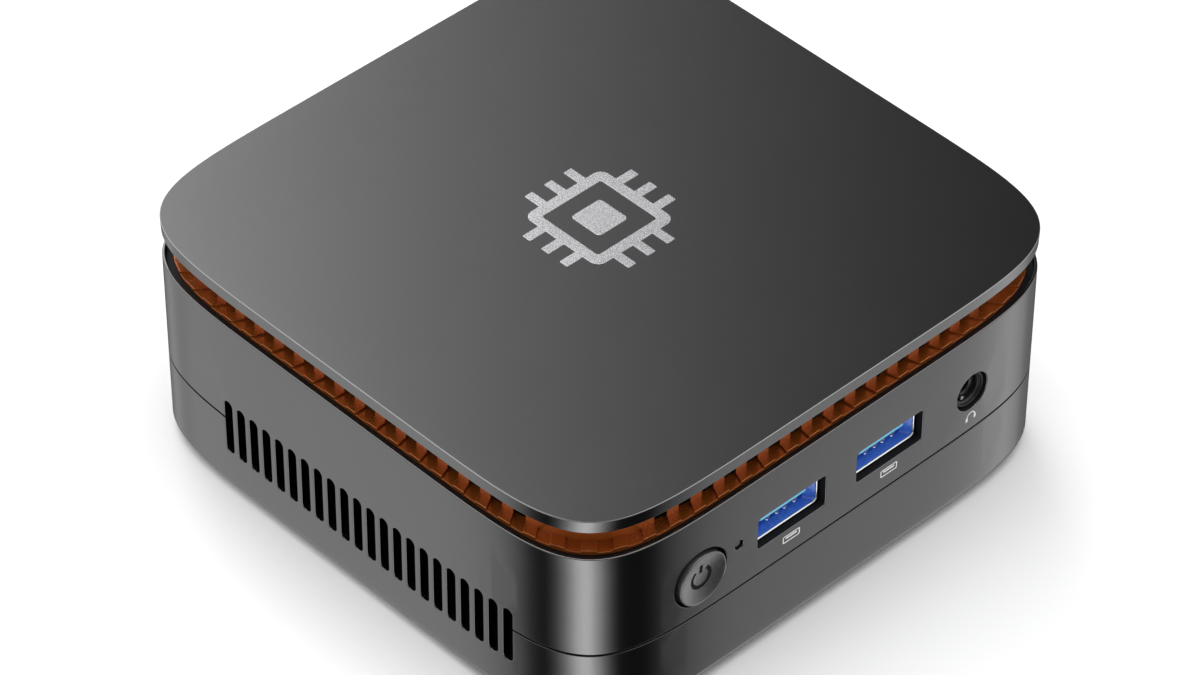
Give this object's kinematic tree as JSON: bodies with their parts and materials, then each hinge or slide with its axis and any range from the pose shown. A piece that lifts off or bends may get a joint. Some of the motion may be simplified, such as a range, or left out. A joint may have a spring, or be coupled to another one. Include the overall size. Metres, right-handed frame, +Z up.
{
  "type": "mini pc",
  "caption": "Palm-sized desktop computer in a square case with soft corners, a metal top plate on a castellated copper-coloured vent ring, side vents, a push button and ports front and rear.",
  "frame": {"origin": "middle of the case, at the bottom of the rubber feet", "axes": "+Z up through the top plate, -Y out of the front with the power button, +X to the right of someone facing the front"},
  "size_m": [0.128, 0.1288, 0.052],
  "materials": {
    "shell": "dark grey metallic paint on moulded plastic, satin",
    "plate": "satin gunmetal anodising with a bright cut edge",
    "emblem": "fine-grained silver foil",
    "ring": "copper-orange, glossy",
    "rubber": "matte black",
    "steel": "zinc-plated",
    "button": "dark grey, circular brushing in its dish",
    "black_plastic": "black, slightly grained",
    "light_pipe": "clear",
    "port_metal": "nickel-plated, bright",
    "blue_plastic": "blue, satin",
    "circuit_board": "green solder mask with copper traces",
    "aluminium": "bare, extruded",
    "copper": "bare copper"
  },
  "bodies": {
    "case": {"lower_shell": "shell", "upper_shell": "shell", "top_plate": "plate", "emblem_frame": "emblem", "emblem_core": "emblem", "vent_ring": "ring", "rubber_foot_1": "rubber", "rubber_foot_2": "rubber", "rubber_foot_3": "rubber", "rubber_foot_4": "rubber", "base_screw_1": "steel", "base_screw_2": "steel", "base_screw_3": "steel", "base_screw_4": "steel", "plate_screw_1": "steel", "plate_screw_2": "steel", "plate_screw_3": "steel", "plate_screw_4": "steel", "board_screw_1": "steel", "board_screw_2": "steel", "board_screw_3": "steel", "board_screw_4": "steel", "fan_screw_1": "steel", "fan_screw_2": "steel", "power_switch": "black_plastic", "light_pipe": "light_pipe", "front_usb_1_shell": "port_metal", "front_usb_1_insert": "blue_plastic", "front_usb_2_shell": "port_metal", "front_usb_2_insert": "blue_plastic", "rear_usb_1_shell": "port_metal", "rear_usb_1_insert": "blue_plastic", "rear_usb_2_shell": "port_metal", "rear_usb_2_insert": "blue_plastic", "audio_jack": "black_plastic", "audio_bush": "port_metal", "dc_jack": "black_plastic", "dc_pin": "port_metal", "hdmi_shell_1": "port_metal", "hdmi_tongue_1": "black_plastic", "hdmi_shell_2": "port_metal", "hdmi_tongue_2": "black_plastic", "ethernet_jack": "port_metal", "main_board": "circuit_board", "processor": "black_plastic", "backup_cell": "port_metal", "heat_sink": "aluminium", "fan_frame": "black_plastic", "fan_coil": "copper", "memory_socket": "black_plastic", "memory_card": "circuit_board", "drive_socket": "black_plastic", "drive_card": "circuit_board", "radio_module": "port_metal", "fan_lead": "black_plastic", "aerial_lead": "black_plastic", "aerial": "copper"},
    "power_button": {"power_button": "button"},
    "switch_plunger": {"switch_plunger": "black_plastic"},
    "fan_rotor": {"fan_rotor": "black_plastic"}
  },
  "joints": [
    {"name": "power_button_press", "type": "slide", "parent": "case", "child": "power_button", "axis": [0, 1, 0], "range_m": [0, 0.0005], "stiffness_N_per_m": 400, "springref_m": -0.002},
    {"name": "switch_plunger_press", "type": "slide", "parent": "case", "child": "switch_plunger", "axis": [0, 1, 0], "range_m": [0, 0.0005]},
    {"name": "fan_spin", "type": "hinge", "parent": "case", "child": "fan_rotor", "pos_m": [0, 0, 0.035], "axis": [0, 0, 1], "continuous": true}
  ],
  "couplings": [
    {"joint": "switch_plunger_press", "follows": "power_button_press", "ratio": 1}
  ]
}
